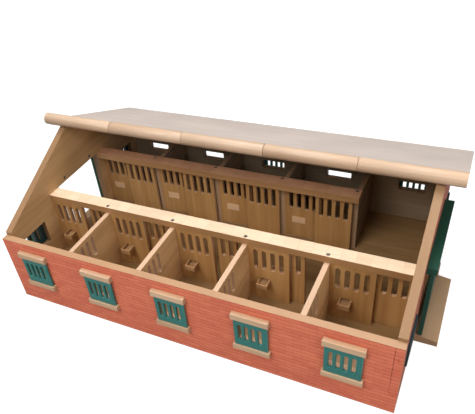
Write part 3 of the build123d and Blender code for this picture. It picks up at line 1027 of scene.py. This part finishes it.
@dataclass
class StallRow(SubAssembly):
    """One row of stalls: its partitions, beam, panels, feeders and sliding doors.

    Args:
        row: Which row it is.
        doors: How many doors slide in it.
        partitions: How many partitions it has.
        partition_thickness: How thick they are, in millimetres.
        beam_block: The length of the blocks that the beam is glued up from.
        first_seed: The number that its boards are counted from.
    """

    row: Row = Row.FRONT
    doors: int = 5
    partitions: int = 4
    partition_thickness: float = 8.0
    beam_block: float = 21.5
    first_seed: float = 40.0

    def woods(self) -> tuple[Wood, Wood, Wood]:
        """Return the woods of the row's partitions, of its beam's top and of its feed trays."""
        if self.row is Row.FRONT:
            return self.timber.partition, self.timber.beam, self.timber.beech
        # Painted shade: the rear row's partitions and beam top are darker copies of the front row's
        # woods.
        return self.timber.dusky, self.timber.dusky_beam, self.timber.pale_beech

    def stalls(self) -> tuple[float, float]:
        """Return the stalls' spacing and where the first one starts, from middle to middle."""
        low, high = corners(f"{self.row.label}_partitions")
        pitch = (high.x - low.x - self.partition_thickness) / (self.partitions - 1)
        return pitch, low.x + self.partition_thickness / 2 - pitch

    def build(self) -> None:
        """Dress every piece of the row."""
        row, seed = self.row.label, self.first_seed
        boards, blocks, trays = self.woods()
        pitch, start = self.stalls()
        upright = replace(self.timber.plywood, grain=Axis.HEIGHT)
        panels = replace(upright, board_pitch=pitch, board_start=start, seed=seed)
        self.dress(f"{row}_stall_panels", panels, Softening.BOARD)
        self.dress(f"{row}_partitions", replace(boards, lie=ACROSS, seed=seed + 3.0), Softening.BOARD)
        top = replace(blocks, board_pitch=self.beam_block, seed=seed + 5.0)
        sides = replace(self.timber.beam_side, seed=seed + 6.0)
        self.dress(f"{row}_beam", TwoFacedBoard(top, sides, (0.0, 0.0, 1.0)), Softening.STRIP)
        feeders = replace(trays, board_pitch=pitch, board_start=start, seed=seed + 7.0)
        self.dress(f"{row}_feeders", feeders, Softening.BOARD)
        for number in range(1, self.doors + 1):
            door = replace(upright, seed=seed + 10.0 + number)
            self.dress(f"{row}_stall_door_{number}", door, Softening.BOARD)


@dataclass
class WindowRow(SubAssembly):
    """The window strips and shutters of one long wall.

    Args:
        wall: Which wall it is in.
        windows: How many windows it has.
        strip_length: The length of a lintel or sill in millimetres.
        first_seed: The number that its boards are counted from.
    """

    wall: Wall = Wall.FRONT
    windows: int = 5
    strip_length: float = 57.0
    first_seed: float = 80.0

    def build(self) -> None:
        """Dress the strips and the shutters."""
        wall, seed = self.wall.label, self.first_seed
        low, high = corners(f"{wall}_window_lintels")
        pitch = (high.x - low.x - self.strip_length) / (self.windows - 1)
        start = low.x + self.strip_length / 2 - pitch / 2
        strip = replace(self.timber.trim, board_pitch=pitch, board_start=start)
        self.dress(f"{wall}_window_lintels", replace(strip, seed=seed), Softening.STRIP)
        self.dress(f"{wall}_window_sills", replace(strip, seed=seed + 9.0), Softening.STRIP)
        for number in range(1, self.windows + 1):
            shutter = f"{wall}_shutter_{number}"
            heading = Lie((0.0, 0.0, 90.0 + 90.0 * self.wall.value - opened(shutter)))
            coat = replace(self.timber.teal, lie=heading, seed=seed + 20.0 + number)
            self.dress(shutter, coat, Softening.BOARD)


@dataclass
class GableDoors(SubAssembly):
    """The doors of one gable with their lintel, ramp, grilles and turn button.

    Args:
        gable: Which gable they are in.
        first_seed: The number that its boards are counted from.
    """

    gable: Gable = Gable.LEFT
    first_seed: float = 120.0

    def build(self) -> None:
        """Dress the leaves and everything round them."""
        gable, seed = self.gable.label, self.first_seed
        lintel = replace(self.timber.green, lie=ACROSS, grain=Axis.LENGTH, seed=seed)
        self.dress(f"{gable}_door_lintel", lintel, Softening.BOARD)
        ramp = replace(self.timber.ramp, grain=Axis.THICKNESS, seed=seed + 1.0)
        self.dress(f"{gable}_ramp", ramp, Softening.BOARD)
        grilles = replace(self.timber.grille, lie=ACROSS, seed=seed + 2.0)
        self.dress(f"{gable}_gable_grilles", grilles, Softening.BOARD)
        for row in Row:
            leaf = f"{gable}_gable_door_{row.label}"
            heading = Lie((0.0, 0.0, row.value * (self.gable.value * opened(leaf) - 90.0)))
            coat = replace(self.timber.green, lie=heading, seed=seed + 4.0 + row.value)
            self.dress(leaf, coat, Softening.BOARD)
            if row.value == self.gable.value:  # the leaf that carries the turn button
                button = replace(self.timber.beech, lie=heading, grain=Axis.HEIGHT, seed=seed + 5.0)
                self.dress(f"{gable}_latch", button, Softening.BOARD)
                self.dress(f"{gable}_latch_screw", self.timber.steel, Softening.FITTING)


@dataclass
class Pins(SubAssembly):
    """The steel pins that shutters, leaves and roof turn on."""

    def build(self) -> None:
        """Dress the pins and the ridge rod."""
        for piece in ("shutter_pins", "gable_door_pins", "ridge_rod"):
            self.dress(piece, self.timber.steel, Softening.NONE)


@dataclass
class Roof(SubAssembly):
    """Both halves of the roof and the five lengths of the ridge roll.

    Args:
        pitch: The rear half's slope in degrees.
        fold_pitch: The folded front half's slope in degrees.
        segments: How many lengths the ridge roll has.
    """

    pitch: float = 26.6
    fold_pitch: float = 21.5
    segments: int = 5

    def build(self) -> None:
        """Dress the panels and the ridge rolls."""
        low, high = corners("rear_roof_panel")
        for half, pitch, seed in ((Row.REAR, self.pitch, 151.0), (Row.FRONT, self.fold_pitch, 157.0)):
            slope = math.radians(pitch)
            upward = Vector((0.0, math.sin(slope), math.cos(slope)))
            tilt = Lie((90.0 - pitch, 0.0, 0.0))
            lining = replace(self.timber.roof_lining, lie=tilt, seed=seed)
            panel = TwoFacedBoard(self.timber.roof_grey, lining, tuple(upward * half.value))
            self.dress(f"{half.label}_roof_panel", panel, Softening.BOARD)
            roll = replace(
                self.timber.roll,
                board_pitch=(high.x - low.x) / self.segments,
                board_start=low.x,
                seed=seed + 2.0,
            )
            self.dress(f"{half.label}_ridge_rolls", roll, Softening.ROLL)


# ---- Studio --------------------------------------------------------------------------------
@dataclass(frozen=True)
class Lamp:
    """One soft square lamp.

    Args:
        name: The lamp's name.
        place: Where it hangs, in metres.
        target: What it points at, in metres.
        size: The length of its side in metres.
        power: Its power in watts.
        colour: The colour of its light.
    """

    name: str
    place: tuple[float, float, float]
    target: tuple[float, float, float]
    size: float
    power: float
    colour: str = "FFFFFF"

    def hang(self) -> None:
        """Put the lamp in the scene."""
        data = bpy.data.lights.new(self.name, "AREA")
        data.shape = "SQUARE"
        data.size = self.size
        data.energy = self.power
        data.color = tint(self.colour)[:3]
        lamp = bpy.data.objects.new(self.name, data)
        lamp.location = self.place
        beam = Vector(self.target) - Vector(self.place)
        lamp.rotation_euler = beam.to_track_quat("-Z", "Y").to_euler()
        bpy.context.scene.collection.objects.link(lamp)


@dataclass
class Studio:
    """The pale floor, the soft lamps and the camera.

    Args:
        eye: Where the camera stands, in metres.
        heading: Its heading from +Y towards +X, in radians.
        dip: How far it looks down, in radians.
        roll: How far it leans, in radians.
        focal: Its focal length in picture widths.
        sensor_width: The width of its sensor in millimetres.
        shift: How far the picture is shifted, in picture widths.
        floor_side: The side of the floor in metres.
        floor_drop: How far the floor lies under the stable, in metres.
        floor_greys: The two greys that the floor is clouded with.
        lamps: The soft lamps.
        zenith: The strength of the sky straight above.
        horizon: Its strength near the horizon.
        sky_rise: Where the sky starts and stops brightening, as sines of the height.
        floor_glow: How strongly the floor glows for the camera, like a lit table.
        floor_bounce: How strongly it glows for everything that stands on it.
    """

    eye: tuple[float, float, float] = (0.35157, -0.67657, 0.68512)
    heading: float = -0.5589
    dip: float = 0.6807
    roll: float = -0.1483
    focal: float = 1.15407
    sensor_width: float = 36.0
    shift: tuple[float, float] = (0.08408, 0.0659)
    floor_side: float = 14.0
    floor_drop: float = 0.0003
    floor_greys: tuple[str, str] = ("7E7E7E", "848484")
    lamps: tuple[Lamp, ...] = (
        Lamp("key lamp", (0.0, 0.45, 1.95), (0.0, 0.0, 0.1), 0.9, 23.5),
        Lamp("front lamp", (-0.35, -1.3, 1.6), (0.0, 0.0, 0.1), 1.0, 25.5),
        Lamp("right lamp", (1.6, -1.0, 1.2), (0.0, 0.0, 0.1), 1.1, 16.0),
    )
    zenith: float = 0.8
    horizon: float = 0.09
    sky_rise: tuple[float, float] = (0.5, 0.95)
    floor_glow: float = 0.9
    floor_bounce: float = 0.15

    def build(self) -> None:
        """Build the floor, the sky, the lamps and the camera."""
        self.lay_floor()
        self.light()
        self.set_camera()

    def lay_floor(self) -> None:
        """Lay a large pale floor under the stable."""
        half = self.floor_side / 2
        mesh = bpy.data.meshes.new("studio floor")
        outline = [(-half, -half, 0.0), (half, -half, 0.0), (half, half, 0.0), (-half, half, 0.0)]
        mesh.from_pydata(outline, [], [(0, 1, 2, 3)])
        floor = bpy.data.objects.new("studio_floor", mesh)
        floor.location.z = -self.floor_drop
        bpy.context.scene.collection.objects.link(floor)
        graph = Graph("studio floor")
        cloud = graph.noise(graph.place(ALONG), 0.004, 2.0)
        greys = [tint(code) for code in self.floor_greys]
        graph.feed(graph.shader.inputs["Base Color"], graph.mix(cloud, *greys))
        graph.shader.inputs["Roughness"].default_value = 0.9
        graph.shader.inputs["Emission Color"].default_value = (1.0, 1.0, 1.0, 1.0)
        seen = graph.node("ShaderNodeLightPath")
        glow = graph.span(seen.outputs["Is Camera Ray"], self.floor_bounce, self.floor_glow)
        graph.feed(graph.shader.inputs["Emission Strength"], glow)
        mesh.materials.append(graph.material)

    def light(self) -> None:
        """Hang the lamps and brighten the sky towards its top."""
        world = bpy.data.worlds.new("studio")
        world.use_nodes = True
        tree = world.node_tree
        sky = tree.nodes["Background"]
        sky.inputs["Color"].default_value = (1.0, 1.0, 1.0, 1.0)
        way = tree.nodes.new("ShaderNodeTexCoord")
        height = tree.nodes.new("ShaderNodeSeparateXYZ")
        glow = tree.nodes.new("ShaderNodeMapRange")
        glow.interpolation_type = "SMOOTHSTEP"
        glow.inputs["From Min"].default_value = self.sky_rise[0]
        glow.inputs["From Max"].default_value = self.sky_rise[1]
        glow.inputs["To Min"].default_value = self.horizon
        glow.inputs["To Max"].default_value = self.zenith
        seen = tree.nodes.new("ShaderNodeLightPath")
        shown = tree.nodes.new("ShaderNodeMath")
        shown.operation = "MAXIMUM"
        tree.links.new(way.outputs["Generated"], height.inputs[0])
        tree.links.new(height.outputs[2], glow.inputs["Value"])
        tree.links.new(glow.outputs["Result"], shown.inputs[0])
        tree.links.new(seen.outputs["Is Camera Ray"], shown.inputs[1])
        tree.links.new(shown.outputs[0], sky.inputs["Strength"])
        bpy.context.scene.world = world
        for lamp in self.lamps:
            lamp.hang()
        bpy.context.scene.view_settings.view_transform = "Standard"

    def set_camera(self) -> None:
        """Set up the camera that looks down into the stalls."""
        data = bpy.data.cameras.new("camera")
        data.sensor_fit = "HORIZONTAL"
        data.sensor_width = self.sensor_width
        data.lens = self.focal * data.sensor_width
        data.shift_x, data.shift_y = self.shift
        data.clip_start = 0.02
        data.dof.use_dof = False
        level = math.cos(self.dip)
        sine, cosine = math.sin(self.heading), math.cos(self.heading)
        ahead = Vector((sine * level, cosine * level, -math.sin(self.dip)))
        right = Vector((cosine, -sine, 0.0))
        over = right.cross(ahead)
        leaning_right = math.cos(self.roll) * right + math.sin(self.roll) * over
        leaning_up = math.cos(self.roll) * over - math.sin(self.roll) * right
        turn = Matrix((leaning_right, leaning_up, -ahead)).transposed()
        camera = bpy.data.objects.new("camera", data)
        camera.matrix_world = Matrix.Translation(self.eye) @ turn.to_4x4()
        bpy.context.scene.collection.objects.link(camera)
        bpy.context.scene.camera = camera


def main() -> None:
    """Dress the stable piece by piece and set up the studio."""
    logging.basicConfig(level=logging.INFO, format="%(name)s: %(message)s")
    assemblies = [
        Shell(),
        StallRow(row=Row.FRONT, doors=5, first_seed=40.0),
        StallRow(row=Row.REAR, doors=4, first_seed=60.0),
        WindowRow(wall=Wall.FRONT, first_seed=80.0),
        WindowRow(wall=Wall.BACK, first_seed=100.0),
        GableDoors(gable=Gable.LEFT, first_seed=120.0),
        GableDoors(gable=Gable.RIGHT, first_seed=140.0),
        Pins(),
        Roof(),
    ]
    for assembly in assemblies:
        assembly.build()
    Studio().build()


if __name__ == "__main__":
    main()
